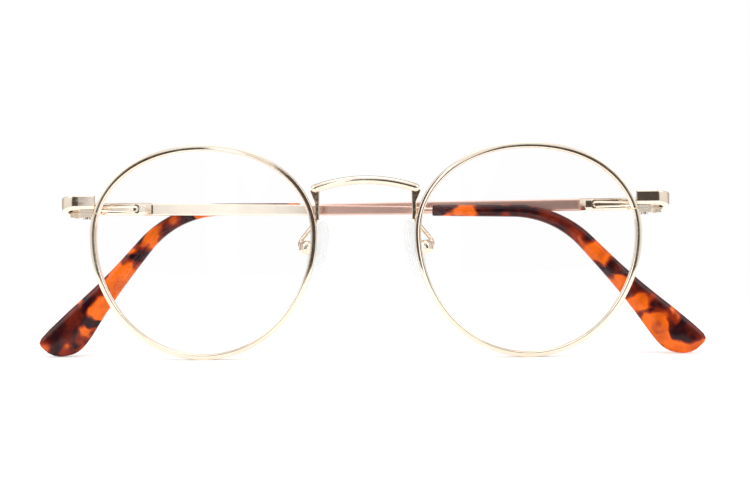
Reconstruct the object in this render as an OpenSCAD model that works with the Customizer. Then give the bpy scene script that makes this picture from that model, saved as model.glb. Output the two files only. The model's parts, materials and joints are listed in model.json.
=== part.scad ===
// Round wire eyeglasses with spring hinges, standing folded on the rims and the temple tips.
// X runs across the face (+X is the wearer's left), Y runs back towards the wearer, Z is up.
// Millimetres. The origin is at the middle of the footprint, on the surface that the frame stands on.

/* [Front] */
// Distance between the centres of the two rims
rim_spacing = 69.0; // [66:0.2:72]
// Half the outer width of one rim
rim_half_w = 24.1; // [22:0.1:26]
// Rim height above its widest level
rim_up = 19.1; // [17:0.1:21]
// Rim height below its widest level
rim_down = 26.3; // [24:0.1:28]
// Radial thickness of the eyewire
wire_t = 1.2; // [1.1:0.05:1.5]
// Front-to-back depth of the eyewire
wire_d = 2.0; // [1.8:0.1:2.4]
// Angle by which each rim is turned back towards the temple
wrap = 3; // [0:0.5:5]
// Radius of the lens curve
lens_curve = 120; // [90:5:200]

/* [Temples] */
// Length from the hinge axis to the end of the tip, along the temple
temple_len = 145; // [142:0.1:147]
// Length from the hinge axis to the start of the ear bend
bend_start = 94.5; // [91:0.1:96]
// Radius of the ear bend
bend_r = 21.8; // [20:0.2:26]
// Angle of the right temple's ear bend
inner_bend = 46; // [44:0.1:52]
// Angle of the left temple's ear bend
outer_bend = 49.6; // [44:0.1:52]
// Length from the hinge axis to the start of the acetate tip
tip_start = 76.9; // [70:0.5:82]
// How far the end of the tip curves in towards the head
tip_tuck = 1.2; // [0:0.1:2]
// Tilt of the temples below the lens normal
pantoscopic = 1.5; // [0:0.5:3]
// Angle of the folded right temple past the lens plane, towards the lenses
inner_slant = 0.9; // [0:0.1:1.2]
// Angle by which the left temple, folded behind the right one, stays open
outer_slant = 1.5; // [1.5:0.1:3.5]
// Slope of the folded right temple towards its tip
inner_droop = 0.75; // [0:0.05:1.6]
// Slope of the folded left temple towards its tip
outer_droop = 0.15; // [0:0.05:1.6]

/* [Hinge] */
// Radius of the hinge barrels
barrel_r = 1.2; // [1.1:0.05:1.4]
// Radius of the hinge screw
screw_r = 0.55; // [0.5:0.05:0.7]
// Travel of the sprung slider
spring_travel = 1.2; // [0.8:0.1:1.5]

/* [Nose pads] */
// Length of a pad
pad_len = 12.6; // [11:0.2:13]
// Width of a pad
pad_w = 7.2; // [6:0.2:8]
// Angle by which the pads open towards the face
pad_splay = 30; // [20:1:40]
// Angle by which the pads open downwards
pad_flare = 12; // [5:1:20]

/* [Hidden] */
$fn = 48;
SIDES = ["left", "right"];
PIECES = ["eyewire", "rim_lock_upper", "rim_lock_lower", "rim_screw", "lens", "endpiece", "hinge_barrel",
          "hinge_screw", "hinge_slider", "slider_head", "hinge_spring", "spring_retainer", "spring_housing",
          "temple_bar", "temple_tip", "pad_arm", "pad_box", "pad_screw", "pad_insert", "nose_pad"];

GOLD = [0.90, 0.82, 0.68];
STEEL = [0.75, 0.75, 0.76];
TORTOISE = [0.55, 0.20, 0.05];
CLEAR = [0.90, 0.95, 0.97, 0.35];
MILKY = [0.93, 0.95, 0.95, 0.6];

mid_depth = 5.6;        // moves the middle of the depth onto the origin
tiny = 0.02;            // gap between pieces that are soldered or pressed together
run_gap = 0.05;         // radial gap of a pin that turns in its hole

// rim
rim_z = rim_down;                       // height of the widest level
rim_power = 2.1;                        // over 2 squares the upper half a little
wire_y = wire_d / 2;                    // depth of the wire's middle, before the wrap
box_z = (rim_up - rim_down) / 2;        // middle of the lens box, from the widest level
rim_steps = 72;
lock_t = 14.5;                           // where the eyewire is split, in degrees round its outline
lock_gap = 0.5;                         // half the split, in degrees
groove_w = 0.5;                         // half the width of the lens groove
groove_at = 0.08;                       // its floor, inwards from the wire's middle

// endpiece and hinge
end_z = 33.5;                           // height of the endpiece's middle
end_h = 3.0;
end_t = 1.3;
end_bend = 2.9;                         // radius of its bend, at the middle of the bar
front_x = 65;                           // half the width of the front
hinge_x = front_x - end_t - barrel_r;
hinge_y = 8;
leg_slope = 11.5;                       // fall of the endpiece's leg towards the hinge
hinge_z = end_z - (hinge_y - 2) * tan(leg_slope);
butt_y = 0.6;                           // where the open temple meets the endpiece, from the hinge axis
butt_gap = 0.1;                         // play left between the two
knuckle_h = 1.1;                        // each barrel on the front
slider_h = 1.5;                         // the barrel between them
bar_in = barrel_r + 0.05;               // inner face of the temple bar, from the hinge axis
bar_out = front_x - hinge_x;            // outer face
bar_x = (bar_in + bar_out) / 2;

// spring hinge, along the temple from the hinge axis
house_start = 1.7;
house_end = 16.1;
house_h = 2.7;
bore_r = 0.95;
bore_end = 11.8;
plug_end = 3.1;
rod_r = 0.5;
head_start = 10.6;
head_end = 11.4;
spring_turns = 8;
spring_wire = 0.14;                     // radius of the spring's wire
spring_r = 0.73;                        // radius to the middle of that wire

// nose pads
pad_at = [12.9, 8.2, 23.4];             // middle of the pad box
pad_thick = 2.3;
pad_off = 2.75;                         // from the pad box to the middle of the pad

// ---------------------------------------------------------------- helpers

function unit(v) = v / norm(v);
function mix(a, b, f) = a + (b - a) * f;
function ease(f) = f * f * (3 - 2 * f);
function sgn_pow(v, p) = sign(v) * pow(abs(v), p);

// a point on the Bezier curve through the first and last of these points
function bezier(p, f) =
    len(p) == 1 ? p[0] : bezier([for (i = [0:len(p) - 2]) mix(p[i], p[i + 1], f)], f);

// a value read from a table of [place, value] rows, with eased steps between them
function along(table, s, i = 0) =
    s <= table[0][0] ? table[0][1] :
    i >= len(table) - 1 ? table[len(table) - 1][1] :
    s <= table[i + 1][0]
        ? mix(table[i][1], table[i + 1][1], (s - table[i][0]) / (table[i + 1][0] - table[i][0]))
        : along(table, s, i + 1);

// a closed solid through rings with the same even number of points, each ring anticlockwise as seen
// from the ring after it; its two ends are closed by ladders between the two halves of a ring
module loft(rings) {
    n = len(rings);
    m = len(rings[0]);
    sides = [for (i = [0:n - 2], j = [0:m - 1])
        let (k = (j + 1) % m, a = i * m, b = a + m)
        each [[a + j, b + j, a + k], [a + k, b + j, b + k]]];
    ends = [for (j = [0:m / 2 - 2]) let (k = m - 1 - j, a = (n - 1) * m)
        each concat([[j, j + 1, k], [j + 1, k - 1, k]],
                    [[a + j, a + k, a + j + 1], [a + j + 1, a + k, a + k - 1]])];
    polyhedron([for (r = rings) each r], concat(sides, ends), convexity = 8);
}

// a round wire of radius r through a list of points, its section kept square to the path
function ring_at(path, i, r, sides, up) =
    let (n = len(path), a = path[max(i - 1, 0)], b = path[min(i + 1, n - 1)],
         t = unit(b - a), u = unit(cross(t, up)), v = cross(t, u))
    [for (k = [0:sides - 1]) path[i] + r * (cos(360 * k / sides) * u + sin(360 * k / sides) * v)];

module wire(path, r, sides = 8, up = [0, 0, 1]) {
    loft([for (i = [0:len(path) - 1]) ring_at(path, i, r, sides, up)]);
}

// ---------------------------------------------------------------- frames of reference

module on_side(side) {
    translate([0, -mid_depth, 0])
        mirror([side == "right" ? 1 : 0, 0, 0])
            children();
}

// the rim's own frame: X out to the temple, Z up from its widest level
module rim_frame() {
    translate([rim_spacing / 2, 0, rim_z]) rotate([0, 0, wrap]) children();
}

// the hinge's frame: Z along the hinge axis, X out, Y back along the open temple
module hinge_frame(side) {
    translate([hinge_x, hinge_y, hinge_z]) rotate([-pantoscopic, 0, 0])
        rotate([0, side == "right" ? -inner_droop : -outer_droop, 0]) children();
}

// the same, turned with the folded temple; the right temple lies in front of the left one
module folded(side) {
    hinge_frame(side) rotate([0, 0, 90 + (side == "right" ? inner_slant : -outer_slant)]) children();
}

// the pad box's frame: -X towards the nose, Y along the pad screw, Z up along the pad
module pad_frame() {
    translate(pad_at) rotate([0, -pad_flare, 0]) rotate([0, 0, -pad_splay]) children();
}

// ---------------------------------------------------------------- rims and lenses

// the middle line of the eyewire, at t degrees anticlockwise from the temple side
function outline(t) =
    let (a = rim_half_w - wire_t / 2, p = sin(t) > 0 ? 2 / rim_power : 1,
         b = (sin(t) > 0 ? rim_up : rim_down) - wire_t / 2)
    [a * sgn_pow(cos(t), p), b * sgn_pow(sin(t), p)];

function outline_normal(t) =
    let (d = outline(t + 0.5) - outline(t - 0.5)) unit([d[1], -d[0]]);

// depth of the lens curve at a point of the rim's frame, level with the wire's middle at its edge
function lens_depth(x, z) =
    let (mean_r = (rim_half_w * 2 + rim_up + rim_down) / 4 - wire_t / 2)
    wire_y + (x * x + pow(z - box_z, 2) - mean_r * mean_r) / (2 * lens_curve);

// a point of the wire's section: out from the middle line, and back from the lens curve
function rim_point(t, out, back) =
    let (p = outline(t) + out * outline_normal(t))
    [p[0], lens_depth(p[0], p[1]) + back, p[1]];

// the section of the eyewire: rounded outside, with a groove inside for the lens bevel
function wire_section() =
    let (t = wire_t / 2, d = wire_d / 2)
    [[-t, -d], [-t, -groove_w], [-groove_at, -0.1], [-groove_at, 0.1], [-t, groove_w], [-t, d],
     [t - 0.3, d], [t, d - 0.45], [t, 0.2], [t, -0.2], [t, -d + 0.45], [t - 0.3, -d]];

module eyewire() {
    from = lock_t + lock_gap;
    to = lock_t + 360 - lock_gap;
    color(GOLD) rim_frame()
        loft([for (i = [0:rim_steps]) let (t = mix(from, to, i / rim_steps))
            [for (q = wire_section()) rim_point(t, q[0], q[1])]]);
}

module lens() {
    edge = -wire_t / 2 - run_gap;       // just inside the wire
    bevel = -groove_at - run_gap;       // the bevel's crest, just short of the groove's floor
    half = 0.85;                        // half the lens's thickness
    steps = 64;
    function lens_ring(share, back, out = edge) =
        [for (i = [0:steps - 1]) let (t = 360 * i / steps,
            p = share * (outline(t) + out * outline_normal(t)))
            [p[0], lens_depth(p[0], p[1]) + back, p[1]]];
    color(CLEAR) rim_frame()
        loft([lens_ring(0.15, -half), lens_ring(0.45, -half), lens_ring(0.75, -half),
              lens_ring(1, -half), lens_ring(1, -0.35), lens_ring(1, 0, bevel),
              lens_ring(1, 0.35), lens_ring(1, half),
              lens_ring(0.75, half), lens_ring(0.45, half), lens_ring(0.15, half)]);
}

// ---------------------------------------------------------------- rim lock

lock_p = rim_point(lock_t, wire_t / 2, 0);      // on the outside of the wire, at the split
lock_w = 2.6;                                   // how far the blocks stand out from the wire
lock_d = 1.9;
lock_up_h = end_z - end_h / 2 - rim_z - lock_p[2];      // up to the underside of the endpiece
lock_down_h = 0.95;
lock_screw_x = 1.55;
lock_screw_r = 0.45;

module lock_frame() {
    rim_frame() translate([lock_p[0], lock_p[1], lock_p[2]]) children();
}

module lock_block(low, high) {
    difference() {
        translate([0.1, -lock_d / 2, low]) cube([lock_w, lock_d, high - low]);
        translate([lock_screw_x, 0, low - 1]) cylinder(r = lock_screw_r + tiny, h = high - low + 2);
    }
}

module rim_lock_upper() {
    color(GOLD) lock_frame() lock_block(tiny, lock_up_h);
}

module rim_lock_lower() {
    color(GOLD) lock_frame() lock_block(-lock_down_h, -tiny);
}

module rim_screw() {
    color(GOLD) lock_frame() translate([lock_screw_x, 0, 0]) difference() {
        union() {
            translate([0, 0, -lock_down_h - 0.1]) cylinder(r = lock_screw_r, h = lock_down_h + lock_up_h);
            translate([0, 0, -lock_down_h - 0.5]) cylinder(r = 0.8, h = 0.5 - tiny);
        }
        translate([-1, -0.12, -lock_down_h - 0.6]) cube([2, 0.24, 0.35]);
    }
}

// ---------------------------------------------------------------- bridge

module bridge() {
    leg_x = 10.3;
    leg_foot = 30.0;
    arch_top = 37.8;
    arch_drop = 1.9;
    corner_r = 1.0;
    leg_y = wire_y - rim_half_w * sin(wrap) + 0.1;
    bow = 0.6;
    arch_side = leg_x - corner_r;
    corner_z = arch_top - arch_drop - corner_r;
    half_path = concat(
        [for (i = [0:4]) [leg_x, mix(leg_foot, corner_z, i / 4)]],
        [for (a = [15:15:75]) [arch_side + corner_r * cos(a), corner_z + corner_r * sin(a)]],
        [for (i = [0:9]) let (x = arch_side * (1 - i / 10))
            [x, arch_top - arch_drop * pow(x / arch_side, 2)]]);
    path = concat(half_path, [[0, arch_top]],
        [for (i = [len(half_path) - 1:-1:0]) [-half_path[i][0], half_path[i][1]]]);
    n = len(path);
    function at(i) = let (p = path[i]) [p[0], leg_y - bow * (1 - pow(p[0] / leg_x, 2)), p[1]];
    function slim(i) = let (p = path[i]) 1.42 + 0.28 * ease(min(1, max(0, (p[1] - leg_foot) / 6)));
    color(GOLD) translate([0, -mid_depth, 0])
        loft([for (i = [0:n - 1])
            let (a = at(max(i - 1, 0)), b = at(min(i + 1, n - 1)), t = unit(b - a),
                 u = unit(cross(t, [0, -1, 0])), v = cross(t, u), h = slim(i) / 2, d = 0.95)
            [for (q = [[h, 0.5 * d], [0.6 * h, 0.92 * d], [0, d], [-0.6 * h, 0.92 * d], [-h, 0.5 * d],
                       [-h, -0.5 * d], [-0.6 * h, -0.92 * d], [0, -d], [0.6 * h, -0.92 * d], [h, -0.5 * d]])
                at(i) + q[0] * u + q[1] * v]]);
}

// ---------------------------------------------------------------- endpiece and hinge

module endpiece() {
    start_x = rim_spacing / 2 + rim_half_w * cos(wrap) - 1.15;
    front_y = 2.1;
    turn_x = front_x - end_t / 2 - end_bend;
    turn_y = front_y + end_bend;
    leg_end = hinge_y + (butt_y - butt_gap) * cos(pantoscopic);
    p = pantoscopic;
    function drop(y) = -max(0, y - 2) * tan(leg_slope);
    stations = concat(
        [for (i = [0:3]) [0, [mix(start_x, turn_x, i / 4), front_y]]],
        [for (a = [0:11.25:90]) [a, [turn_x + end_bend * sin(a), turn_y - end_bend * cos(a)]]],
        [for (i = [1:3]) [90, [front_x - end_t / 2, mix(turn_y, leg_end, i / 3)]]]);
    bevel = 0.42;
    color(GOLD)
        loft([for (s = stations)
            let (a = s[0], t = [cos(a), sin(a) * cos(p), -sin(a) * sin(p)],
                 lean = [0, sin(p * a / 90), cos(p * a / 90)], w = unit(cross(t, lean)), u = cross(w, t),
                 c = [s[1][0], s[1][1], end_z + drop(s[1][1])], h = end_h / 2, d = end_t / 2)
            [for (q = [[h - bevel, d], [h, d - bevel], [h, -d + 0.15], [h - 0.15, -d],
                       [-h + 0.15, -d], [-h, -d + 0.15], [-h, d - bevel], [-h + bevel, d]])
                c + q[0] * u + q[1] * w]]);
}

module barrel(low, high, hole) {
    difference() {
        union() {
            translate([0, 0, low]) cylinder(r = barrel_r, h = high - low);
            children();
        }
        translate([0, 0, low - 1]) cylinder(r = hole, h = high - low + 2);
    }
}

module hinge_barrel(side) {
    low = slider_h / 2 + run_gap;
    color(GOLD) hinge_frame(side) {
        for (z = [low, -low - knuckle_h])
            barrel(z, z + knuckle_h, screw_r + tiny)
                translate([0, -barrel_r, z]) cube([barrel_r - tiny, barrel_r + 0.3, knuckle_h]);
    }
}

module hinge_screw(side) {
    reach = slider_h / 2 + run_gap + knuckle_h;
    color(STEEL) hinge_frame(side) difference() {
        union() {
            translate([0, 0, -reach - 0.1]) cylinder(r = screw_r, h = 2 * reach + 0.1 + tiny);
            translate([0, 0, reach + tiny]) cylinder(r = 0.95, h = 0.5);
        }
        translate([-1.2, -0.14, reach + 0.22]) cube([2.4, 0.28, 0.5]);
    }
}

module hinge_slider(side) {
    color(STEEL) folded(side) {
        barrel(-slider_h / 2, slider_h / 2, screw_r + run_gap)
            rotate([-90, 0, 0]) cylinder(r = rod_r, h = head_end);
    }
}

module slider_head(side) {
    color(STEEL) folded(side) rotate([-90, 0, 0]) difference() {
        translate([0, 0, head_start]) cylinder(r = 0.85, h = head_end - head_start);
        translate([0, 0, head_start - 1]) cylinder(r = rod_r + tiny, h = 3);
    }
}

module hinge_spring(side) {
    low = plug_end + spring_wire + tiny;
    high = head_start - spring_wire - tiny;
    steps = 12 * spring_turns;
    path = [for (i = [0:steps]) let (a = 360 * spring_turns * i / steps)
        [spring_r * cos(a), mix(low, high, i / steps), spring_r * sin(a)]];
    color(STEEL) folded(side) wire(path, spring_wire, 6, [0, 1, 0]);
}

module spring_retainer(side) {
    color(STEEL) folded(side) rotate([-90, 0, 0]) difference() {
        translate([0, 0, house_start]) cylinder(r = bore_r - tiny, h = plug_end - house_start);
        translate([0, 0, house_start - 1]) cylinder(r = rod_r + run_gap, h = 4);
    }
}

module spring_housing(side) {
    in_x = -1.25;
    out_x = bar_in - tiny;
    nose = 1.6;                         // length of the sloping rear end
    straight = house_end - nose - house_start;
    h = house_h / 2;
    color(GOLD) folded(side) difference() {
        union() {
            translate([in_x, house_start, -h + 0.3]) cube([out_x - in_x, straight, house_h - 0.6]);
            translate([in_x + 0.3, house_start, -h]) cube([out_x - in_x - 0.3, straight, house_h]);
            translate([0, 0, -h]) linear_extrude(house_h)
                polygon([[in_x + 0.3, house_end - nose], [out_x, house_end - nose], [out_x, house_end],
                         [out_x - 0.5, house_end]]);
        }
        translate([0, house_start - 1, 0]) rotate([-90, 0, 0])
            cylinder(r = bore_r, h = bore_end - house_start + 1);
    }
}

// ---------------------------------------------------------------- temples

function bend(side) = side == "right" ? inner_bend : outer_bend;
function bend_len(side) = bend_r * bend(side) * PI / 180;

// place and slope of the temple's middle line, s millimetres from the hinge axis
function temple_line(s, side) =
    let (a = bend(side) * min(1, max(0, (s - bend_start) / bend_len(side))),
         rest = max(0, s - bend_start - bend_len(side)), straight = min(s, bend_start))
    [straight + bend_r * sin(a) + rest * cos(a), -bend_r * (1 - cos(a)) - rest * sin(a), a];

function tuck(s) = tip_tuck * pow(max(0, s - bend_start) / (temple_len - bend_start), 2);

// a point of the temple's section: out from the middle line, and up square to it
function temple_point(s, side, out, up) =
    let (l = temple_line(s, side))
    [bar_x + out - tuck(s), l[0] + up * sin(l[2]), l[1] + up * cos(l[2])];

core_end = temple_len - 7;
bar_h = [[butt_y, 2.5], [house_end, 2.6], [51, 2.3], [72.3, 1.8], [75.8, 1.45], [core_end, 1.35]];
bar_t = [[butt_y, bar_out - bar_in], [40, 1.2], [72.3, 1.15], [core_end, 1.1]];

// the stations of the bar: straight stretch, bend, and the core inside the tip
function bar_stations(side) = concat([butt_y, 8, house_end, 32, 51, 63, 72.3, 75.8],
    [for (i = [0:6]) bend_start + bend_len(side) * i / 6], [core_end - 15, core_end - 7, core_end]);

function bar_ring(s, side, grow = 0) =
    let (h = along(bar_h, s) / 2 + grow, t = along(bar_t, s) / 2 + grow)
    [for (k = [0:15]) let (a = 360 * (k + 0.5) / 16)
        temple_point(s, side, t * sgn_pow(cos(a), 0.35), h * sgn_pow(sin(a), 0.35))];

module temple_bar(side) {
    color(GOLD) folded(side) loft([for (s = bar_stations(side)) bar_ring(s, side)]);
}

// the tip's half-heights above and below the middle line, and its thickness; the last rows of each are
// counted back from its end
end_s = temple_len;
tip_up = [[tip_start, 1.2], [88, 1.28], [96, 1.35], [104, 1.5], [114, 1.8],
          [end_s - 25, 2.05], [end_s - 19, 2.5], [end_s - 14, 3.1], [end_s - 9, 3.8],
          [end_s - 4, 4.35], [end_s - 1.4, 4.5], [end_s - 0.4, 4.2], [end_s, 3.4]];
tip_down = [[tip_start, 1.2], [88, 1.28], [96, 1.35], [104, 1.5], [114, 1.8],
            [end_s - 25, 2.05], [end_s - 19, 2.45], [end_s - 14, 3.05], [end_s - 9, 3.8],
            [end_s - 6.2, 4.0], [end_s - 4.4, 3.85], [end_s - 2.6, 2.9], [end_s - 1.2, 1.5],
            [end_s - 0.4, 0.3], [end_s, -0.9]];
tip_thick = [[tip_start, 2.4], [79, 2.6], [111, 2.8], [end_s - 15, 2.7], [end_s - 5, 2.4],
             [end_s - 1.2, 2.0], [end_s - 0.4, 1.5], [end_s, 0.8]];
function tip_stations(side) = concat([tip_start, tip_start + 0.5, 83, 89],
    [for (i = [0:8]) bend_start + bend_len(side) * i / 8],
    [for (back = [25, 19, 14, 11, 8, 6, 4.4, 2.6, 1.2, 0.4, 0]) end_s - back]);

function tip_ring(s, side) =
    let (shrink = s == tip_start ? 0.82 : 1, up = along(tip_up, s) * shrink,
         down = along(tip_down, s) * shrink, mid = (up - down) / 2, h = (up + down) / 2,
         t = along(tip_thick, s) / 2 * shrink)
    [for (k = [0:15]) let (a = 360 * (k + 0.5) / 16)
        temple_point(s, side, t * sgn_pow(cos(a), 0.75), mid + h * sgn_pow(sin(a), 0.8))];

// one skin: up the hole for the core from its blind end, over the start, then along the outside
module temple_tip(side) {
    bar = bar_stations(side);
    hole = concat([core_end + 0.3],
                  [for (i = [len(bar) - 2:-1:0]) if (bar[i] > tip_start + 1) bar[i]],
                  [tip_start]);
    color(TORTOISE) folded(side)
        loft(concat([for (s = hole) bar_ring(s, side, tiny)],
                    [for (s = tip_stations(side)) tip_ring(s, side)]));
}

// ---------------------------------------------------------------- nose pads

module pad_arm() {
    turn = [[10.9, 0.9, 29.0], [10.5, 3.4, 29.4], [10.6, 7.6, 28.9], [12.8, 11.4, 26.6],
            [15.2, 11.4, 24.6], [14.2, 8.9, 23.8]];
    color(GOLD) wire([for (i = [0:14]) bezier(turn, i / 14)], 0.5, 8, [1, 0, 0.3]);
}

module pad_box() {
    w = 2.7;
    color(GOLD) pad_frame() difference() {
        translate([-0.9, -w / 2, -w / 2]) cube([2.2, w, w]);
        translate([-1, -0.65, -w / 2 - 1]) cube([1.9, 1.3, w + 2]);
        rotate([90, 0, 0]) cylinder(r = 0.4 + tiny, h = 6, center = true);
    }
}

module pad_screw() {
    color(STEEL) pad_frame() rotate([90, 0, 0]) difference() {
        union() {
            translate([0, 0, -1.35]) cylinder(r = 0.4, h = 2.8);
            translate([0, 0, 1.35 + tiny]) cylinder(r = 0.75, h = 0.4);
        }
        translate([-1, -0.11, 1.55]) cube([2, 0.22, 0.5]);
    }
}

module pad_insert() {
    color(CLEAR) pad_frame() difference() {
        union() {
            translate([-pad_off + 0.4, -0.55, -1.1]) cube([pad_off + 0.25, 1.1, 2.2]);
            translate([-pad_off - 0.25, -2, -4]) cube([0.7, 4, 8]);
        }
        rotate([90, 0, 0]) cylinder(r = 0.4 + run_gap, h = 6, center = true);
    }
}

module nose_pad() {
    rings = 8;
    color(MILKY) pad_frame() difference() {
        translate([-pad_off, 0, 0])
            loft([for (i = [0:rings]) let (a = mix(-82, 82, i / rings), r = cos(a), z = pad_len / 2 * sin(a))
                [for (k = [0:13]) let (b = -360 * k / 14)
                    [pad_thick / 2 * pow(r, 0.6) * cos(b),
                     pad_w / 2 * pow(r, 0.85) * sin(b), z]]]);
        translate([-pad_off - 0.25 - tiny, -2 - tiny, -4 - tiny])
            cube([0.7 + 2 * tiny, 4 + 2 * tiny, 8 + 2 * tiny]);
        translate([-pad_off, -0.55 - tiny, -1.1 - tiny]) cube([4, 1.1 + 2 * tiny, 2.2 + 2 * tiny]);
    }
}

// ---------------------------------------------------------------- assembly

module piece(name, side) {
    if (name == "eyewire") eyewire();
    if (name == "rim_lock_upper") rim_lock_upper();
    if (name == "rim_lock_lower") rim_lock_lower();
    if (name == "rim_screw") rim_screw();
    if (name == "lens") lens();
    if (name == "endpiece") endpiece();
    if (name == "hinge_barrel") hinge_barrel(side);
    if (name == "hinge_screw") hinge_screw(side);
    if (name == "hinge_slider") hinge_slider(side);
    if (name == "slider_head") slider_head(side);
    if (name == "hinge_spring") hinge_spring(side);
    if (name == "spring_retainer") spring_retainer(side);
    if (name == "spring_housing") spring_housing(side);
    if (name == "temple_bar") temple_bar(side);
    if (name == "temple_tip") temple_tip(side);
    if (name == "pad_arm") pad_arm();
    if (name == "pad_box") pad_box();
    if (name == "pad_screw") pad_screw();
    if (name == "pad_insert") pad_insert();
    if (name == "nose_pad") nose_pad();
}

bridge();
for (side = SIDES, name = PIECES)
    on_side(side) piece(name, side);
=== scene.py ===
import json
from math import cos, pi, radians, sin, tan

import bmesh
import bpy
from bpy.props import FloatProperty, FloatVectorProperty, PointerProperty
from mathutils import Matrix, Vector


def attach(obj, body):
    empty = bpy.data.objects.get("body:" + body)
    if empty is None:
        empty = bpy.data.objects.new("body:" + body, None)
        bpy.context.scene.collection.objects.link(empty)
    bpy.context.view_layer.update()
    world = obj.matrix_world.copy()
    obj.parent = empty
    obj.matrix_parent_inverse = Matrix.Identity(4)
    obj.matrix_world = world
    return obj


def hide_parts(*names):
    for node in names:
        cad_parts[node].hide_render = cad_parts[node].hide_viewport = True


bl_info = {
    "name": "Round Wire Glasses",
    "version": (1, 0, 0),
    "blender": (4, 5, 0),
    "location": "View3D > Sidebar > Glasses",
    "description": "Builds the smooth meshes and finishes of folded round wire eyeglasses",
    "category": "Add Mesh",
}

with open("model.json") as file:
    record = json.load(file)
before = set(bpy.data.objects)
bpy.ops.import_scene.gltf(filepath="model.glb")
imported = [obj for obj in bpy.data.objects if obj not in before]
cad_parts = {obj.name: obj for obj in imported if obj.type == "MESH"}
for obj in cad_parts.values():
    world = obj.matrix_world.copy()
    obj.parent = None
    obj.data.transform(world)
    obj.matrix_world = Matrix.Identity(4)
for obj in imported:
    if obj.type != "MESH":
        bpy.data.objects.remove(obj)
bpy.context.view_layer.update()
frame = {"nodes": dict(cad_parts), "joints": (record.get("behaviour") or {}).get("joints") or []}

MM = 0.001
SIDES = ("left", "right")
JOINTS = {joint["name"]: joint for joint in frame["joints"]}
HINGE_BACK = 8.0        # from the front of the rims to the hinge axis
FRONT_Y = JOINTS["left_fold"]["pos_m"][1] / MM - HINGE_BACK


# ---------------------------------------------------------------- sizes and colours

def length(name, description, value):
    """A length in millimetres, kept as a property in metres."""
    return FloatProperty(name=name, description=description, default=value * MM, unit="LENGTH", precision=5)


def colour(name, description, value):
    return FloatVectorProperty(name=name, description=description, default=value, size=3,
                               subtype="COLOR", min=0, max=1)


class GlassesSizes(bpy.types.PropertyGroup):
    rim_spacing: length("Rim spacing", "Distance between the centres of the two rims", 69.0)
    rim_half_width: length("Rim half width", "Half the outer width of one rim", 24.1)
    rim_up: length("Rim above", "Rim height above its widest level", 19.1)
    rim_down: length("Rim below", "Rim height below its widest level", 26.3)
    wire_thickness: length("Wire thickness", "Radial thickness of the eyewire", 1.2)
    wire_depth: length("Wire depth", "Front-to-back depth of the eyewire", 2.0)
    lens_curve: length("Lens curve", "Radius of the lens curve", 120)
    wrap: FloatProperty(name="Wrap", description="Angle by which each rim is turned back", default=radians(3),
                        unit="ROTATION")
    bridge_top: length("Bridge height", "Height of the middle of the bridge's bar", 37.75)
    bridge_bar: length("Bridge bar", "Thickness of the bridge's bar", 1.75)
    endpiece_height: length("Endpiece height", "Height of the endpiece's bar", 3.0)
    temple_length: length("Temple length", "From the hinge axis to the end of the tip, along the temple", 145)
    bend_start: length("Ear bend", "From the hinge axis to the start of the ear bend", 94.5)
    bend_radius: length("Bend radius", "Radius of the ear bend", 21.8)
    right_bend: FloatProperty(name="Right bend", description="Angle of the right temple's ear bend",
                              default=radians(46), unit="ROTATION")
    left_bend: FloatProperty(name="Left bend", description="Angle of the left temple's ear bend",
                             default=radians(49.6), unit="ROTATION")
    tip_start: length("Tip start", "From the hinge axis to the start of the acetate tip", 76.9)
    pad_length: length("Pad length", "Length of a nose pad", 12.6)
    pad_width: length("Pad width", "Width of a nose pad", 7.2)


class GlassesColours(bpy.types.PropertyGroup):
    gold: colour("Gold", "Pale gold plating", (0.92, 0.83, 0.70))
    gold_warm: colour("Warm gold", "The plating where it is a little thicker", (0.90, 0.76, 0.62))
    # painted reflection: a pinkish tint painted into the temples' plating where their flat faces mirror the
    # dim room
    rose: colour("Rose gold", "The temples' plating", (0.80, 0.53, 0.45))
    steel: colour("Steel", "Plated screws and springs", (0.78, 0.76, 0.73))
    amber: colour("Amber", "Lightest patches of the acetate", (0.90, 0.15, 0.004))
    rust: colour("Rust", "Edges of the amber patches", (0.27, 0.025, 0.006))
    treacle: colour("Treacle", "Darkest patches of the acetate", (0.018, 0.003, 0.005))
    silicone: colour("Silicone", "Milky nose pads", (0.90, 0.94, 0.95))
    backdrop: colour("Backdrop", "What the edges of the metal mirror from behind it", (0.52, 0.45, 0.42))
    room: colour("Room", "The dim band of the room that the metal mirrors", (0.085, 0.07, 0.06))


def size(name):
    """A size of the glasses in millimetres."""
    return getattr(bpy.context.scene.glasses_sizes, name) / MM


def angle(name):
    return getattr(bpy.context.scene.glasses_sizes, name)


def tint(name):
    return (*getattr(bpy.context.scene.glasses_colours, name), 1)


# ---------------------------------------------------------------- shader maths

class Signal:
    """A shader socket that can be used in sums, as a number can."""

    def __init__(self, finish, socket):
        self.finish = finish
        self.socket = socket

    def maths(self, operation, a, b=None):
        values = {0: a} if b is None else {0: a, 1: b}
        return self.finish.node("ShaderNodeMath", {"operation": operation}, values)

    def __add__(self, other):
        return self.maths("ADD", self, other)

    def __sub__(self, other):
        return self.maths("SUBTRACT", self, other)

    def __rsub__(self, other):
        return self.maths("SUBTRACT", other, self)

    def __mul__(self, other):
        return self.maths("MULTIPLY", self, other)

    def __pow__(self, other):
        return self.maths("POWER", self, other)

    def __abs__(self):
        return self.maths("ABSOLUTE", self)

    __radd__ = __add__
    __rmul__ = __mul__


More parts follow.
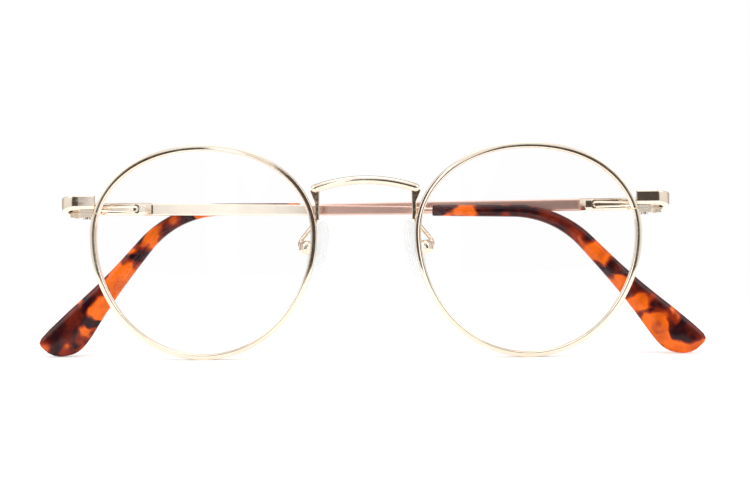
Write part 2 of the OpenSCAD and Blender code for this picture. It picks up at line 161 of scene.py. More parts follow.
class Finish:
    """A node tree that is filled in with plain expressions."""

    def __init__(self, tree):
        self.tree = tree

    def node(self, kind, settings=None, values=None, output=0):
        """Adds a node, sets its settings first and then its sockets, and returns one of its outputs."""
        made = self.tree.nodes.new(kind)
        for key, value in (settings or {}).items():
            if key == "stops":
                self.fill_ramp(made.color_ramp, value)
            else:
                setattr(made, key, value)
        for key, value in (values or {}).items():
            self.feed(made.inputs[key], value)
        return Signal(self, made.outputs[output]) if made.outputs else made

    def fill_ramp(self, ramp, stops):
        while len(ramp.elements) < len(stops):
            ramp.elements.new(1)
        for element, (place, value) in zip(ramp.elements, stops):
            element.position = place
            element.color = value

    def feed(self, socket, value):
        if isinstance(value, Signal):
            self.tree.links.new(value.socket, socket)
        else:
            socket.default_value = value

    def mix(self, factor, a, b, blend="MIX"):
        """Mixes two colours."""
        return self.node("ShaderNodeMix", {"data_type": "RGBA", "blend_type": blend},
                         {0: factor, 6: a, 7: b}, output=2)

    def place(self, stretch=(1, 1, 1), turn=(0, 0, 0)):
        """A point on the piece, in metres, stretched and turned."""
        point = self.node("ShaderNodeTexCoord", output=3)
        return self.node("ShaderNodeMapping", values={"Vector": point, "Rotation": turn, "Scale": stretch})

    def noise(self, point, scale, detail=2.0, distortion=0.0, roughness=0.5):
        return self.node("ShaderNodeTexNoise", values={"Vector": point, "Scale": scale, "Detail": detail,
                                                       "Roughness": roughness, "Distortion": distortion})

    def step(self, signal, low, high):
        """0 below low, 1 above high, and a smooth rise between them."""
        return self.node("ShaderNodeMapRange", {"interpolation_type": "SMOOTHSTEP"},
                         {"Value": signal, "From Min": low, "From Max": high})

    def bump(self, height, strength, distance):
        values = {"Height": height, "Strength": strength, "Distance": distance}
        return self.node("ShaderNodeBump", values=values)


class Material(Finish):
    """A material with one Principled shader."""

    def __init__(self, name):
        self.material = bpy.data.materials.new(name)
        self.material.use_nodes = True
        super().__init__(self.material.node_tree)
        self.shader = self.tree.nodes["Principled BSDF"]

    def set(self, **values):
        for key, value in values.items():
            self.feed(self.shader.inputs[key.replace("_", " ")], value)


# ---------------------------------------------------------------- finishes

def pale_gold():
    """Polished pale gold plating with faint polishing lines and a thin haze from handling."""
    m = Material("pale_gold")
    drift = m.noise(m.place(), 90, detail=3)
    haze = m.noise(m.place((1, 3, 3)), 420, detail=4, roughness=0.6)
    lines = m.noise(m.place((1, 30, 60)), 240, detail=2)
    m.set(Base_Color=m.mix(m.step(drift, 0.35, 0.65), tint("gold"), tint("gold_warm")),
          Metallic=1.0, Roughness=0.07 + 0.09 * m.step(haze, 0.4, 0.75),
          Normal=m.bump(haze * 0.6 + lines * 0.4, 0.08, 0.00002))
    return m.material


def rose_gold():
    """The temples' plating: satin, with a painted pinkish reflection laid on it away from the right hinge."""
    m = Material("rose_gold")
    point = m.place()
    split = m.node("ShaderNodeSeparateXYZ", values={0: point})
    haze = m.noise(point, 300, detail=4, roughness=0.6)
    lines = m.noise(m.place((2, 60, 60)), 200, detail=2)
    # painted reflection mask: pink where the folded temples lie past x = -8 mm, with a little noise along its
    # edge; rougher there too
    painted_reflection_mask = m.step(split + 0.006 * (haze - 0.5), -0.015, -0.008)
    m.set(Base_Color=m.mix(painted_reflection_mask, tint("gold"), tint("rose")), Metallic=1.0,
          Roughness=0.14 + 0.12 * painted_reflection_mask + 0.06 * haze, Normal=m.bump(lines, 0.1, 0.00002))
    return m.material


def satin_gold():
    """The small soldered blocks: the same plating, tumbled to a satin."""
    m = Material("satin_gold")
    drift = m.noise(m.place(), 90, detail=3)
    grain = m.noise(m.place(), 1800, detail=3)
    m.set(Base_Color=m.mix(m.step(drift, 0.35, 0.65), tint("gold"), tint("gold_warm")),
          Metallic=1.0, Roughness=0.38 + 0.1 * grain, Normal=m.bump(grain, 0.06, 0.00002))
    return m.material


def plated_steel():
    """Turned screws and springs, duller than the frame, with rings from the tool."""
    m = Material("plated_steel")
    rings = m.noise(m.place((40, 40, 1)), 120, detail=2)
    grain = m.noise(m.place(), 2500, detail=2)
    m.set(Base_Color=m.mix(m.step(grain, 0.3, 0.7), tint("steel"), tint("gold")),
          Metallic=1.0, Roughness=0.16 + 0.14 * grain, Normal=m.bump(rings, 0.12, 0.00003))
    return m.material


def tortoise_acetate():
    """Polished acetate: amber with treacle patches whose edges run into rust."""
    m = Material("tortoise_acetate")
    point = m.place()
    bend = m.noise(point, 150, detail=2)
    bent = m.node("ShaderNodeVectorMath", {"operation": "MULTIPLY_ADD"},
                  {0: bend, 1: (0.004, 0.004, 0.004), 2: point})
    patches = m.noise(bent, 175, detail=1.2, distortion=0.35, roughness=0.45)
    flecks = m.noise(bent, 420, detail=2, roughness=0.5)
    depth = patches * 0.86 + flecks * 0.14
    body = m.node("ShaderNodeValToRGB", {"stops": (
        (0.0, tint("treacle")), (0.49, tint("treacle")), (0.53, tint("rust")),
        (0.57, tint("amber")), (1.0, tint("amber")))}, {"Fac": depth})
    cloud = m.noise(point, 260, detail=3)
    shade = m.mix(m.step(cloud, 0.35, 0.7) * 0.5, body, tint("rust"))
    polish = m.noise(point, 900, detail=3)
    m.set(Base_Color=shade, Roughness=0.1 + 0.08 * polish, Coat_Weight=0.1, Coat_Roughness=0.03,
          IOR=1.45, Specular_IOR_Level=0.25, Normal=m.bump(polish, 0.05, 0.00003))
    return m.material


def clear_lens():
    """A clear demo lens: see-through where it's faced, mirroring where it's grazed."""
    m = Material("clear_lens")
    facing = m.node("ShaderNodeLayerWeight", values={"Blend": 0.2}, output=1)
    smudge = m.noise(m.place(), 60, detail=4)
    m.set(Base_Color=(0.96, 0.98, 1, 1), Metallic=1.0, Roughness=0.02 + 0.02 * m.step(smudge, 0.5, 0.8),
          Alpha=0.006 + 0.45 * facing ** 3)
    return m.material


def milky_silicone():
    """Soft translucent silicone with a satin skin, milkier where it's seen edge on."""
    m = Material("milky_silicone")
    cloud = m.noise(m.place(), 300, detail=2)
    skin = m.noise(m.place(), 3000, detail=2)
    facing = m.node("ShaderNodeLayerWeight", values={"Blend": 0.35}, output=1)
    m.set(Base_Color=m.mix(cloud * 0.5, tint("silicone"), (0.97, 0.98, 0.98, 1)), Roughness=0.25 + 0.1 * skin,
          IOR=1.41, Alpha=0.17 + 0.5 * facing, Normal=m.bump(skin, 0.04, 0.00002))
    return m.material


def clear_plastic():
    """The hard clear core inside a nose pad."""
    m = Material("clear_plastic")
    flow = m.noise(m.place((1, 1, 4)), 500, detail=2)
    m.set(Base_Color=(0.93, 0.95, 0.95, 1), Roughness=0.06 + 0.05 * flow, IOR=1.49, Alpha=0.15 + 0.1 * flow)
    return m.material


MAKERS = {"pale_gold": pale_gold, "rose_gold": rose_gold, "satin_gold": satin_gold,
          "steel": plated_steel, "tortoise_acetate": tortoise_acetate, "clear_lens": clear_lens,
          "milky_silicone": milky_silicone, "clear_plastic": clear_plastic}
made_finishes = {}


def finish(slot):
    """The material of that name, made once."""
    if slot not in made_finishes:
        made_finishes[slot] = MAKERS[slot]()
    return made_finishes[slot]


# ---------------------------------------------------------------- mesh helpers

def mix(a, b, share):
    return a + (b - a) * share


def spread(low, high, count):
    """count numbers from low to high."""
    return [mix(low, high, i / (count - 1)) for i in range(count)]


def ease(share):
    share = min(1, max(0, share))
    return share * share * (3 - 2 * share)


def along(rows, place):
    """The value at a place in rows of (place, value), with straight lines between the rows."""
    if place <= rows[0][0]:
        return rows[0][1]
    for (a, low), (b, high) in zip(rows, rows[1:]):
        if place <= b:
            return mix(low, high, (place - a) / (b - a))
    return rows[-1][1]


def power(value, exponent):
    return abs(value) ** exponent * (1 if value >= 0 else -1)


def rounded(across, up, count, squareness=2.0, turn=0.0):
    """Points of a rounded rectangle (an ellipse at squareness 2) with these half sizes."""
    return [(across * power(cos(a), 2 / squareness), up * power(sin(a), 2 / squareness))
            for a in (2 * pi * (i + turn) / count for i in range(count))]


def bezier(points, share):
    while len(points) > 1:
        points = [a.lerp(b, share) for a, b in zip(points, points[1:])]
    return points[0]


def shell(bm, rings, closed=False, capped=True):
    """Adds a skin through rings of points, in millimetres."""
    rows = [[bm.verts.new(point) for point in ring] for ring in rings]
    pairs = list(zip(rows, rows[1:] + rows[:1])) if closed else list(zip(rows, rows[1:]))
    for a, b in pairs:
        for i in range(len(a)):
            j = (i + 1) % len(a)
            bm.faces.new((a[i], a[j], b[j], b[i]))
    if capped and not closed:
        bm.faces.new(rows[0][::-1])
        bm.faces.new(rows[-1])


def tube_rings(path, radius, count=16, up=Vector((0, 0, 1))):
    """Rings of a round wire along a path; radius is a number or a function of the share of the path."""
    rings = []
    for i, point in enumerate(path):
        way = (path[min(i + 1, len(path) - 1)] - path[max(i - 1, 0)]).normalized()
        across = way.cross(up).normalized()
        over = across.cross(way)
        r = radius(i / (len(path) - 1)) if callable(radius) else radius
        rings.append([point + across * x + over * y for x, y in rounded(r, r, count)])
    return rings


def place_front(side):
    """From the front's own frame, in millimetres, to the row's, in metres."""
    flip = 1 if side == "left" else -1
    return Matrix.Scale(MM, 4) @ Matrix.Translation((0, FRONT_Y, 0)) @ Matrix.Diagonal((flip, 1, 1, 1))


def place_rim(side):
    """From the rim's frame, whose origin is its middle at its widest level, to the row's."""
    middle = Matrix.Translation((size("rim_spacing") / 2, 0, size("rim_down")))
    return place_front(side) @ middle @ Matrix.Rotation(angle("wrap"), 4, "Z")


def place_temple(side):
    """From the temple's frame (X out, Y along it from the hinge axis, Z up the axis) to the row's."""
    hinge = Vector(JOINTS[f"{side}_fold"]["pos_m"])
    up = Vector(JOINTS[f"{side}_fold"]["axis"])
    up = up if up.z > 0 else -up
    way = Vector(JOINTS[f"{side}_spring"]["axis"])
    out = way.cross(up) * (1 if side == "left" else -1)
    turn = Matrix((out, way, up)).transposed().to_4x4()
    return Matrix.Translation(hinge) @ turn @ Matrix.Scale(MM, 4)


def place_pad(side):
    """From the pad box's frame (-X to the nose, Y along its screw, Z up the pad) to the row's."""
    rock = JOINTS[f"{side}_pad_rock"]
    flip = Matrix.Diagonal((1 if side == "left" else -1, 1, 1, 1))
    middle = flip @ Vector(rock["pos_m"])
    screw = flip @ Vector(rock["axis"])
    up = Vector((-sin(radians(12)), 0, cos(radians(12))))
    out = screw.cross(up)
    turn = Matrix((out, screw, up)).transposed().to_4x4()
    return flip @ Matrix.Translation(middle) @ turn @ Matrix.Scale(MM, 4)


def piece(name, bm, place, body, slot, nodes, crease=40, look=None):
    """Turns a mesh in a local frame into a finished piece that stands for its CAD nodes."""
    bmesh.ops.transform(bm, matrix=place, verts=bm.verts)
    bmesh.ops.recalc_face_normals(bm, faces=bm.faces)
    mesh = bpy.data.meshes.new(name)
    bm.to_mesh(mesh)
    bm.free()
    mesh.polygons.foreach_set("use_smooth", [True] * len(mesh.polygons))
    mesh.set_sharp_from_angle(angle=radians(crease))
    mesh.materials.append(finish(look or slot))
    made = bpy.data.objects.new(name, mesh)
    bpy.context.scene.collection.objects.link(made)
    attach(made, body)
    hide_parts(*nodes)
    return made


def round_edges(made, width):
    bevel = made.modifiers.new("round", "BEVEL")
    bevel.width = width * MM
    bevel.segments = 3
    bevel.limit_method = "ANGLE"
    bevel.angle_limit = radians(40)
    bevel.harden_normals = True


# ---------------------------------------------------------------- rims and lenses

LOCK_ANGLE = 14.5        # where the eyewire is split, in degrees round its outline
LOCK_GAP = 0.5          # half the split, in degrees
RIM_POWER = 2.1         # squares the upper half a little


def outline(t):
    """A point of the eyewire's middle line, t degrees anticlockwise from the temple side."""
    half = size("wire_thickness") / 2
    upper = sin(radians(t)) > 0
    reach = (size("rim_up") if upper else size("rim_down")) - half
    exponent = 2 / RIM_POWER if upper else 1
    return Vector(((size("rim_half_width") - half) * power(cos(radians(t)), exponent),
                   reach * power(sin(radians(t)), exponent)))


def outward(t):
    way = outline(t + 0.5) - outline(t - 0.5)
    return Vector((way.y, -way.x)).normalized()


def lens_depth(x, z):
    """Depth of the lens curve, level with the wire's middle at the edge of the lens."""
    middle_z = (size("rim_up") - size("rim_down")) / 2
    edge = (size("rim_half_width") * 2 + size("rim_up") + size("rim_down")) / 4 - size("wire_thickness") / 2
    return size("wire_depth") / 2 + (x * x + (z - middle_z) ** 2 - edge * edge) / (2 * size("lens_curve"))


def rim_point(t, out, back):
    p = outline(t) + out * outward(t)
    return Vector((p.x, lens_depth(p.x, p.y) + back, p.y))


def wire_section():
    """The eyewire's section, as (out, back): a flat front, rounded more on the lens side, and a groove."""
    half, depth = size("wire_thickness") / 2, size("wire_depth") / 2
    points = []
    for x, y, start, r in ((-1, -1, 180, 0.42), (1, -1, 270, 0.16), (1, 1, 0, 0.4), (-1, 1, 90, 0.4)):
        for a in spread(radians(start), radians(start + 90), 6):
            points.append((x * (half - r) + r * cos(a), y * (depth - r) + r * sin(a)))
    points += [(-half, 0.52), (-0.09, 0.1), (-0.09, -0.1), (-half, -0.52)]
    return points


class GLASSES_OT_rims(bpy.types.Operator):
    """Draws the two grooved eyewires round the lenses, split where the rim screw closes them"""
    bl_idname = "glasses.rims"
    bl_label = "Rims"

    def execute(self, context):
        section = wire_section()
        for side in SIDES:
            bm = bmesh.new()
            turns = spread(LOCK_ANGLE + LOCK_GAP, LOCK_ANGLE + 360 - LOCK_GAP, 241)
            shell(bm, [[rim_point(t, out, back) for out, back in section] for t in turns])
            piece(f"{side}_rim", bm, place_rim(side), "front", "pale_gold", [f"{side}_eyewire"])
        return {"FINISHED"}


class GLASSES_OT_lenses(bpy.types.Operator):
    """Grinds the two curved demo lenses, with the bevel that sits in the groove"""
    bl_idname = "glasses.lenses"
    bl_label = "Lenses"

    def execute(self, context):
        edge = -size("wire_thickness") / 2 - 0.05
        half = 0.79
        faces = [0.02, 0.15, 0.3, 0.45, 0.6, 0.75, 0.88, 0.96]
        profile = [(share, edge, -half) for share in faces]
        profile += [(1, edge - 0.05, -half), (1, edge, -half + 0.05), (1, edge, -0.4), (1, -0.14, 0),
                    (1, edge, 0.4), (1, edge, half - 0.05), (1, edge - 0.05, half)]
        profile += [(share, edge, half) for share in reversed(faces)]
        for side in SIDES:
            bm = bmesh.new()
            rings = []
            for share, out, back in profile:
                ring = []
                for i in range(144):
                    t = i * 2.5
                    p = (outline(t) + out * outward(t)) * share
                    ring.append(Vector((p.x, lens_depth(p.x, p.y) + back, p.y)))
                rings.append(ring)
            shell(bm, rings)
            piece(f"{side}_demo_lens", bm, place_rim(side), "front", "clear_lens", [f"{side}_lens"])
        return {"FINISHED"}


# ---------------------------------------------------------------- bridge

def rim_edge(z, side_out):
    """Distance from the middle of the front to a rim's nose side at a height, side_out beyond its wire."""
    half = size("rim_half_width") + side_out
    level = z - size("rim_down")
    reach = size("rim_up") if level > 0 else size("rim_down")
    exponent = RIM_POWER if level > 0 else 2
    across = half * (1 - (abs(level) / reach) ** exponent) ** (1 / exponent)
    return size("rim_spacing") / 2 - across * cos(angle("wrap"))


class GLASSES_OT_bridge(bpy.types.Operator):
    """Bends the arched bridge bar and fills the flat legs between its ends and the rims"""
    bl_idname = "glasses.bridge"
    bl_label = "Bridge"

    def execute(self, context):
        bm = bmesh.new()
        reach = 11.2
        drop = 1.95
        depth = 0.95
        bar_y = -0.3
        half = size("bridge_bar") / 2
        top = size("bridge_top")

        def middle(x):
            return Vector((x, bar_y - 0.55 * (1 - (x / reach) ** 2), top - drop * (x / reach) ** 2))

        rings = []
        places = spread(-1, 1, 81)
        for share in places:
            x = reach * share
            way = (middle(x + 0.05) - middle(x - 0.05)).normalized()
            up = Vector((0, -1, 0)).cross(way).normalized()
            if up.z < 0:
                up = -up
            back = way.cross(up).normalized()
            end = ease((1 - abs(share)) / 0.045)
            slim = 0.72 + 0.28 * end
            rings.append([middle(x) + up * b * slim + back * a * slim
                          for a, b in rounded(depth, half, 28, 2.3, 0.5)])
        shell(bm, rings)
        foot, head = 29.4, 35.6
        edge = 0.12
        inner = 9.7
        for flip in (-1, 1):
            rings = []
            for z in spread(head, foot, 25):
                share = (head - z) / (head - foot)
                taper = ease(share / 0.45)
                width = min(mix(1.9, 0.95, taper), max(rim_edge(z, 0.35) - inner, 0.5)) / 2
                x = inner + width + 0.1 * share
                y = mix(0.0, 0.1, share)
                thick = mix(0.85, 0.6, share)
                section = [(width, edge - thick), (width - edge, -thick), (edge - width, -thick),
                           (-width, edge - thick), (-width, thick - edge), (edge - width, thick),
                           (width - edge, thick), (width, thick - edge)]
                rings.append([Vector((flip * (x + a), y + b, z)) for a, b in section])
            shell(bm, rings)
        piece("bridge_bar", bm, place_front("left"), "front", "pale_gold", ["bridge"])
        return {"FINISHED"}


# ---------------------------------------------------------------- endpieces and hinges

HALF_FRONT = 65.0
END_THICK = 1.3
END_BEND = 2.9
END_FACE_Y = 2.1        # middle of the endpiece's bar behind the front of the rims
END_LEVEL = 33.5
LEG_SLOPE = 11.5        # degrees by which the endpiece falls towards the hinge
LEAN = 1.5              # degrees by which the temples point down


class GLASSES_OT_endpieces(bpy.types.Operator):
    """Bends the flat bars that run from the rims round to the hinges"""
    bl_idname = "glasses.endpieces"
    bl_label = "Endpieces"

    def section(self, half, thick):
        """A flat face with a rounded top edge and a broad bevel below, in (up, out) pairs."""
        top = [(half - 0.22 + 0.22 * sin(a), thick - 0.22 + 0.22 * cos(a)) for a in spread(0, pi / 2, 5)]
        back = [(half, -thick + 0.12), (half - 0.12, -thick), (-half + 0.12, -thick), (-half, -thick + 0.12)]
        below = [(-half * 0.38 - half * 0.62 * sin(a), thick - 0.6 + 0.6 * cos(a))
                 for a in spread(pi / 2, 0, 6)]
        return top + back + below

    def execute(self, context):
        half = size("endpiece_height") / 2
        thick = END_THICK / 2
        start = size("rim_spacing") / 2 + size("rim_half_width") * cos(angle("wrap")) - 1.0
        turn_x = HALF_FRONT - thick - END_BEND
        turn_y = END_FACE_Y + END_BEND
        leg_end = HINGE_BACK + 0.5
        lean = radians(LEAN)
        stations = [(0, mix(start, turn_x, i / 6), END_FACE_Y) for i in range(6)]
        stations += [(a, turn_x + END_BEND * sin(radians(a)), turn_y - END_BEND * cos(radians(a)))
                     for a in spread(0, 90, 19)]
        stations += [(90, HALF_FRONT - thick, mix(turn_y, leg_end, i / 5)) for i in range(1, 6)]
        section = self.section(half, thick)
        for side in SIDES:
            bm = bmesh.new()
            rings = []
            for a, x, y in stations:
                way = Vector((cos(radians(a)), sin(radians(a)) * cos(lean), -sin(radians(a)) * sin(lean)))
                tilt = lean * a / 90
                out = way.cross(Vector((0, sin(tilt), cos(tilt)))).normalized()
                up = out.cross(way)
                middle = Vector((x, y, END_LEVEL - max(0, y - 2) * tan(radians(LEG_SLOPE))))
                rings.append([middle + up * u + out * o for u, o in section])
            shell(bm, rings)
            piece(f"{side}_endpiece_bar", bm, place_front(side), "front", "pale_gold",
                  [f"{side}_endpiece"], crease=28)
        return {"FINISHED"}


class GLASSES_OT_fittings(bpy.types.Operator):
    """Finishes the hinge, the rim lock and the screws, which keep their working shapes"""
    bl_idname = "glasses.fittings"
    bl_label = "Hinges, locks and screws"

    gold = ("rim_lock_upper", "rim_lock_lower", "hinge_barrel")
    steel = ("rim_screw", "hinge_screw", "hinge_slider", "slider_head", "hinge_spring", "spring_retainer",
             "pad_screw")

    def execute(self, context):
        for side in SIDES:
            for slot, names in (("satin_gold", self.gold), ("steel", self.steel)):
                for name in names:
                    node = frame["nodes"][f"{side}_{name}"]
                    node.data.materials.clear()
                    node.data.materials.append(finish(slot))
                    if name != "hinge_spring":
                        round_edges(node, 0.3 if name.startswith("rim_lock") else 0.1)
            node = frame["nodes"][f"{side}_pad_insert"]
            node.data.materials.clear()
            node.data.materials.append(finish("clear_plastic"))
            round_edges(node, 0.12)
        return {"FINISHED"}


class GLASSES_OT_housings(bpy.types.Operator):
    """Mills the spring housings on the inner faces of the temples, each with its long tapered recess"""
    bl_idname = "glasses.housings"
    bl_label = "Spring housings"

    def execute(self, context):
        inner, outer = -1.25, 1.23
        start, stop = 1.7, 16.1
        half = 1.35
        places = [start, start + 0.08, start + 0.3] + spread(start + 0.6, 13.5, 30)
        places += [13.6, 13.7, 13.85, 14.0, 14.5, 15.0, 15.3, 15.6, 15.9, stop]
        for side in SIDES:
            bm = bmesh.new()
            rings = []
            for y in places:
                edge = 0.12 * ease((start + 0.25 - y) / 0.25)
                proud = 0.0 if y < 13.65 else 0.14
                slope = max(0, y - 15.05) * 1.25
                face = inner + 0.14 - proud + edge + slope
                tall = half - 0.06 + proud * 0.3 - edge
                share = (y - 2.6) / (13.6 - 2.6)
                open_way = ease(share * 7) * ease((1 - share) * 14)
                dip = 0.19 * open_way
                wide = max(0.06, mix(0.28, 0.66, share) * open_way)
                r = 0.2
                rings.append([Vector((x, y, z)) for x, z in (
                    (outer, -tall), (outer, tall), (face + r * 1.5, tall), (face + r * 0.4, tall - r * 0.4),
                    (face, tall - r * 1.2), (face, wide + 0.12), (face + dip * 0.5, wide + 0.02),
                    (face + dip, wide * 0.6), (face + dip, -wide * 0.6), (face + dip * 0.5, -wide - 0.02),
                    (face, -wide - 0.12), (face, -tall + r * 1.2), (face + r * 0.4, -tall + r * 0.4),
                    (face + r * 1.5, -tall))])
            shell(bm, rings)
            piece(f"{side}_housing_block", bm, place_temple(side), f"{side}_temple", "pale_gold",
                  [f"{side}_spring_housing"], crease=35)
        return {"FINISHED"}


# ---------------------------------------------------------------- temples

BAR_INNER = 1.25        # inner face of the temple bar, from the hinge axis
BAR_OUTER = 2.5
BAR_START = 0.6
TIP_TUCK = 1.2          # how far the tip curves in towards the head


def temple_line(s, side):
    """Place and slope of the temple's middle line, s millimetres from the hinge axis."""
    start, radius, turn = size("bend_start"), size("bend_radius"), angle(f"{side}_bend")
    a = min(turn, max(0, (s - start) / radius))
    rest = max(0, s - start - radius * turn)
    return (min(s, start) + radius * sin(a) + rest * cos(a), -radius * (1 - cos(a)) - rest * sin(a), a)


def temple_point(s, side, out, up):
    """A point of the temple's section, out from its middle line and up square to it."""
    y, z, a = temple_line(s, side)
    tuck = TIP_TUCK * (max(0, s - size("bend_start")) / (size("temple_length") - size("bend_start"))) ** 2
    return Vector(((BAR_INNER + BAR_OUTER) / 2 + out - tuck, y + up * sin(a), z + up * cos(a)))


class GLASSES_OT_temple_bars(bpy.types.Operator):
    """Draws the flat temple bars, which narrow to the round core inside the tips"""
    bl_idname = "glasses.temple_bars"
    bl_label = "Temple bars"

    heights = ((0.6, 2.5), (16.1, 2.6), (51, 2.3), (71.3, 1.85), (73.8, 1.6), (75.5, 1.35), (138, 1.3))
    thicks = ((0.6, 1.25), (40, 1.2), (71.3, 1.15), (138, 1.1))

    def execute(self, context):
        tip = size("tip_start")
        places = [BAR_START, BAR_START + 0.06, BAR_START + 0.16] + spread(2, 71.3, 35)
        places += spread(71.8, tip + 1, 12) + spread(tip + 4, size("temple_length") - 8, 24)
        for side in SIDES:
            bm = bmesh.new()
            rings = []
            for s in places:
                inset = 0.1 * ease((BAR_START + 0.14 - s) / 0.14)
                tall = along(self.heights, s) / 2 - inset
                thick = along(self.thicks, s) / 2 - inset
                squareness = mix(6.5, 2.2, ease((s - 70.3) / 5))
                section = rounded(thick, tall, 28, squareness, 0.5)
                rings.append([temple_point(s, side, x, z) for x, z in section])
            shell(bm, rings)
            # the bars wear the gold with the painted pinkish reflection
            piece(f"{side}_bar", bm, place_temple(side), f"{side}_temple", "pale_gold",
                  [f"{side}_temple_bar"], crease=50, look="rose_gold")
        return {"FINISHED"}


class GLASSES_OT_temple_tips(bpy.types.Operator):
    """Moulds the acetate tips, slim where they start and paddle-shaped behind the ear"""
    bl_idname = "glasses.temple_tips"
    bl_label = "Temple tips"

    def tables(self, start, end):
        up = ((start, 1.2), (88, 1.28), (96, 1.35), (104, 1.5), (114, 1.8), (end - 25, 2.05), (end - 19, 2.5),
              (end - 14, 3.1), (end - 9, 3.8), (end - 4, 4.35), (end - 1.4, 4.45), (end - 0.4, 4.15),
              (end, 3.4))
        down = ((start, 1.2), (88, 1.28), (96, 1.35), (104, 1.5), (114, 1.8), (end - 25, 2.05),
                (end - 19, 2.45), (end - 14, 3.05), (end - 9, 3.8), (end - 6.2, 4.0), (end - 4.4, 3.8),
                (end - 2.6, 2.85), (end - 1.2, 1.5), (end - 0.4, 0.3), (end, -0.9))
        thick = ((start, 1.2), (79, 1.28), (111, 1.38), (end - 15, 1.33), (end - 5, 1.18), (end - 1.2, 0.95),
                 (end - 0.4, 0.7), (end, 0.35))
        return up, down, thick

    def execute(self, context):
        start, end = size("tip_start"), size("temple_length")
        up_rows, down_rows, thick_rows = self.tables(start, end)
        places = [start, start + 0.08, start + 0.2, start + 0.4] + spread(start + 1, end - 12, 60)
        places += spread(end - 11.4, end - 1.4, 24) + [end - 1.0, end - 0.7, end - 0.4, end - 0.18, end]
        for side in SIDES:
            bm = bmesh.new()
            rings = []
            for s in places:
                soft = sum(along(up_rows, s + shift) for shift in (-0.8, 0, 0.8)) / 3
                up = soft if s < end - 2 else along(up_rows, s)
                soft = sum(along(down_rows, s + shift) for shift in (-0.8, 0, 0.8)) / 3
                down = soft if s < end - 2 else along(down_rows, s)
                neck = 0.84 + 0.16 * ease((s - start) / 0.35) ** 0.5
                middle, half = (up - down) / 2, (up + down) / 2 * neck
                thick = along(thick_rows, s) * neck
                section = rounded(thick, half, 40, 2.6, 0.5)
                rings.append([temple_point(s, side, x, middle + z) for x, z in section])
            shell(bm, rings)
            piece(f"{side}_tip", bm, place_temple(side), f"{side}_temple", "tortoise_acetate",
                  [f"{side}_temple_tip"], crease=60)
        return {"FINISHED"}


# ---------------------------------------------------------------- nose pads

class GLASSES_OT_pad_arms(bpy.types.Operator):
    """Bends the pad arms and forms the rounded boxes that they carry"""
    bl_idname = "glasses.pad_arms"
    bl_label = "Pad arms and boxes"

    route = ((10.9, 0.9, 29.0), (10.5, 3.4, 29.4), (10.6, 7.6, 28.9), (12.8, 11.4, 26.6), (15.2, 11.4, 24.6),
             (14.2, 8.9, 23.8))

    def execute(self, context):
        turns = [Vector(point) for point in self.route]
        for side in SIDES:
            bm = bmesh.new()
            path = [bezier(turns, share) for share in spread(0, 1, 41)]
            shell(bm, tube_rings(path, lambda share: 0.48 + 0.18 * ease((0.12 - share) / 0.12), 18,
                                 Vector((1, 0, 0.3))))
            piece(f"{side}_arm", bm, place_front(side), "front", "pale_gold", [f"{side}_pad_arm"])
            bm = bmesh.new()
            rings = [[Vector((x, a, b)) for a, b in rounded(r, r, 32, 2.8, 0.5)] for x, r in (
                (-0.45, 0.8), (-0.5, 1.1), (-0.86, 1.2), (-0.92, 1.32), (-0.84, 1.45), (-0.3, 1.54),
                (0.4, 1.52),
                (0.9, 1.38), (1.22, 1.08), (1.4, 0.65), (1.45, 0.2))]
            shell(bm, rings)
            piece(f"{side}_box", bm, place_pad(side), "front", "pale_gold", [f"{side}_pad_box"], crease=50)
        return {"FINISHED"}


class GLASSES_OT_nose_pads(bpy.types.Operator):
    """Moulds the soft silicone nose pads, a little wider at their lower end"""
    bl_idname = "glasses.nose_pads"
    bl_label = "Nose pads"

    def execute(self, context):
        for side in SIDES:
            bm = bmesh.new()
            rings = []
            for a in spread(-86, 86, 41):
                z = size("pad_length") / 2 * sin(radians(a))
                r = cos(radians(a))
                wide = size("pad_width") / 2 * r ** 0.85 * (1 - 0.06 * sin(radians(a)))
                thick = 1.1 * r ** 0.6
                rings.append([Vector((-2.75 + x, y, z)) for x, y in rounded(thick, wide, 32, 2.3, 0.5)])
            shell(bm, rings)
            piece(f"{side}_soft_pad", bm, place_pad(side), f"{side}_pad", "milky_silicone",
                  [f"{side}_nose_pad"], crease=70)
        return {"FINISHED"}


# ---------------------------------------------------------------- stage

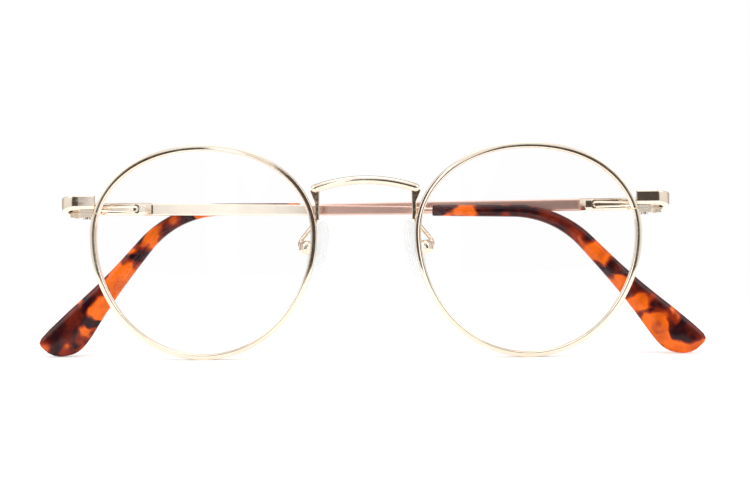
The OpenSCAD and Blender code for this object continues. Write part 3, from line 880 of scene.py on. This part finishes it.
class GLASSES_OT_stage(bpy.types.Operator):
    """Sets the pale floor, the white studio with its dim band, and the camera"""
    bl_idname = "glasses.stage"
    bl_label = "Stage"

    distance = 300          # from the camera to the front of the rims
    view_width = 158.2      # width that the camera sees there
    aim = (1.9, 22.95)      # what the middle of the view meets, across and up
    rise = 1.0              # degrees by which the camera looks down
    roll = 0.55

    def floor(self):
        bm = bmesh.new()
        reach = 0.17        # short enough for the metal to mirror the studio beyond it
        corners = ((-1, -1), (1, -1), (1, 1), (-1, 1))
        bm.faces.new([bm.verts.new((x * reach, y * reach, 0)) for x, y in corners])
        mesh = bpy.data.meshes.new("floor")
        bm.to_mesh(mesh)
        bm.free()
        m = Material("floor_card")
        mottle = m.noise(m.place(), 4, detail=2)
        m.set(Base_Color=m.mix(mottle, (0.93, 0.93, 0.93, 1), (0.9, 0.9, 0.9, 1)), Roughness=0.95,
              Emission_Color=(1, 1, 1, 1), Emission_Strength=0.12)
        mesh.materials.append(m.material)
        made = bpy.data.objects.new("floor", mesh)
        bpy.context.scene.collection.objects.link(made)

    def studio(self):
        """White all round, with a dim band in front at eye level, which only the mirrors see."""
        world = bpy.data.worlds.new("studio")
        bpy.context.scene.world = world
        world.use_nodes = True
        world.node_tree.nodes.clear()
        w = Finish(world.node_tree)
        way = w.node("ShaderNodeTexCoord", output=0)
        split = w.node("ShaderNodeSeparateXYZ", values={0: way})
        x, y, z = (Signal(w, split.socket.node.outputs[i]) for i in range(3))
        side = abs(x)
        top = 0.17 + 2 * side.maths("MINIMUM", side, 0.11)
        below = 0.3 * side - 0.37
        band = w.step(z - below, 0, 0.06) * (1 - w.step(z - top, -0.03, 0.03)) * w.step(y * -1, 0.72, 0.84)
        softbox = w.step(x, -0.202, -0.192) * (1 - w.step(x, -0.08, -0.065))
        lit = band * softbox
        dim = band - lit
        behind = w.step(y, 0.15, 0.75)
        sky = w.node("ShaderNodeValToRGB", {"stops": (
            (0.0, (0.80, 0.79, 0.78, 1)), (0.45, (0.88, 0.87, 0.86, 1)), (0.62, (0.98, 0.98, 0.98, 1)),
            (1.0, (1.05, 1.05, 1.05, 1)))}, {"Fac": z * 0.5 + 0.5})
        sky = w.mix(behind, w.mix(lit, sky, (1.5, 1.5, 1.55, 1)), tint("backdrop"))
        mirrored = w.node("ShaderNodeLightPath", output=3)
        shown = w.mix(mirrored, (1, 1, 1, 1), w.mix(dim, sky, tint("room")))
        light = w.node("ShaderNodeBackground", values={"Color": shown, "Strength": 1.0})
        w.node("ShaderNodeOutputWorld", values={"Surface": light})

    def lamp(self, name, place, reach, power):
        data = bpy.data.lights.new(name, "AREA")
        data.shape = "DISK"
        data.size = reach
        data.energy = power
        made = bpy.data.objects.new(name, data)
        made.location = place
        made.rotation_euler = (Vector((0, 0, 0.02)) - Vector(place)).to_track_quat("-Z", "Y").to_euler()
        made.visible_camera = False
        bpy.context.scene.collection.objects.link(made)

    def camera(self):
        data = bpy.data.cameras.new("camera")
        data.lens = data.sensor_width * self.distance / self.view_width
        data.clip_start, data.clip_end = 0.01, 10
        made = bpy.data.objects.new("camera", data)
        rise = radians(self.rise)
        back = Vector((0, -cos(rise), sin(rise)))
        target = Vector((self.aim[0], FRONT_Y, self.aim[1]))
        made.location = (target + back * self.distance) * MM
        turn = (-back).to_track_quat("-Z", "Y").to_matrix().to_4x4()
        made.rotation_euler = (turn @ Matrix.Rotation(-radians(self.roll), 4, "Z")).to_euler()
        bpy.context.scene.collection.objects.link(made)
        bpy.context.scene.camera = made

    def execute(self, context):
        self.floor()
        self.studio()
        self.lamp("top_light", (0, -0.1, 0.6), 0.5, 0.8)
        self.lamp("left_light", (-0.5, -0.3, 0.35), 0.35, 0.5)
        self.lamp("right_light", (0.5, -0.3, 0.35), 0.35, 0.5)
        self.camera()
        context.scene.view_settings.view_transform = "Standard"
        return {"FINISHED"}


# ---------------------------------------------------------------- panel and run

OPERATORS = (GLASSES_OT_rims, GLASSES_OT_lenses, GLASSES_OT_bridge, GLASSES_OT_endpieces, GLASSES_OT_fittings,
             GLASSES_OT_housings, GLASSES_OT_temple_bars, GLASSES_OT_temple_tips, GLASSES_OT_pad_arms,
             GLASSES_OT_nose_pads, GLASSES_OT_stage)


class GLASSES_PT_panel(bpy.types.Panel):
    """Lists the sizes, the colours and the steps that build the glasses"""
    bl_idname = "GLASSES_PT_panel"
    bl_label = "Round Wire Glasses"
    bl_space_type = "VIEW_3D"
    bl_region_type = "UI"
    bl_category = "Glasses"

    def draw(self, context):
        for group in (context.scene.glasses_sizes, context.scene.glasses_colours):
            box = self.layout.box()
            for name in group.__annotations__:
                box.prop(group, name)
        for operator in OPERATORS:
            self.layout.operator(operator.bl_idname)


CLASSES = (GlassesSizes, GlassesColours, *OPERATORS, GLASSES_PT_panel)


def register():
    for cls in CLASSES:
        bpy.utils.register_class(cls)
    bpy.types.Scene.glasses_sizes = PointerProperty(type=GlassesSizes)
    bpy.types.Scene.glasses_colours = PointerProperty(type=GlassesColours)


def unregister():
    del bpy.types.Scene.glasses_colours
    del bpy.types.Scene.glasses_sizes
    for cls in reversed(CLASSES):
        bpy.utils.unregister_class(cls)


def main():
    register()
    for operator in OPERATORS:
        group, name = operator.bl_idname.split(".")
        getattr(getattr(bpy.ops, group), name)()


if __name__ == "__main__":
    main()
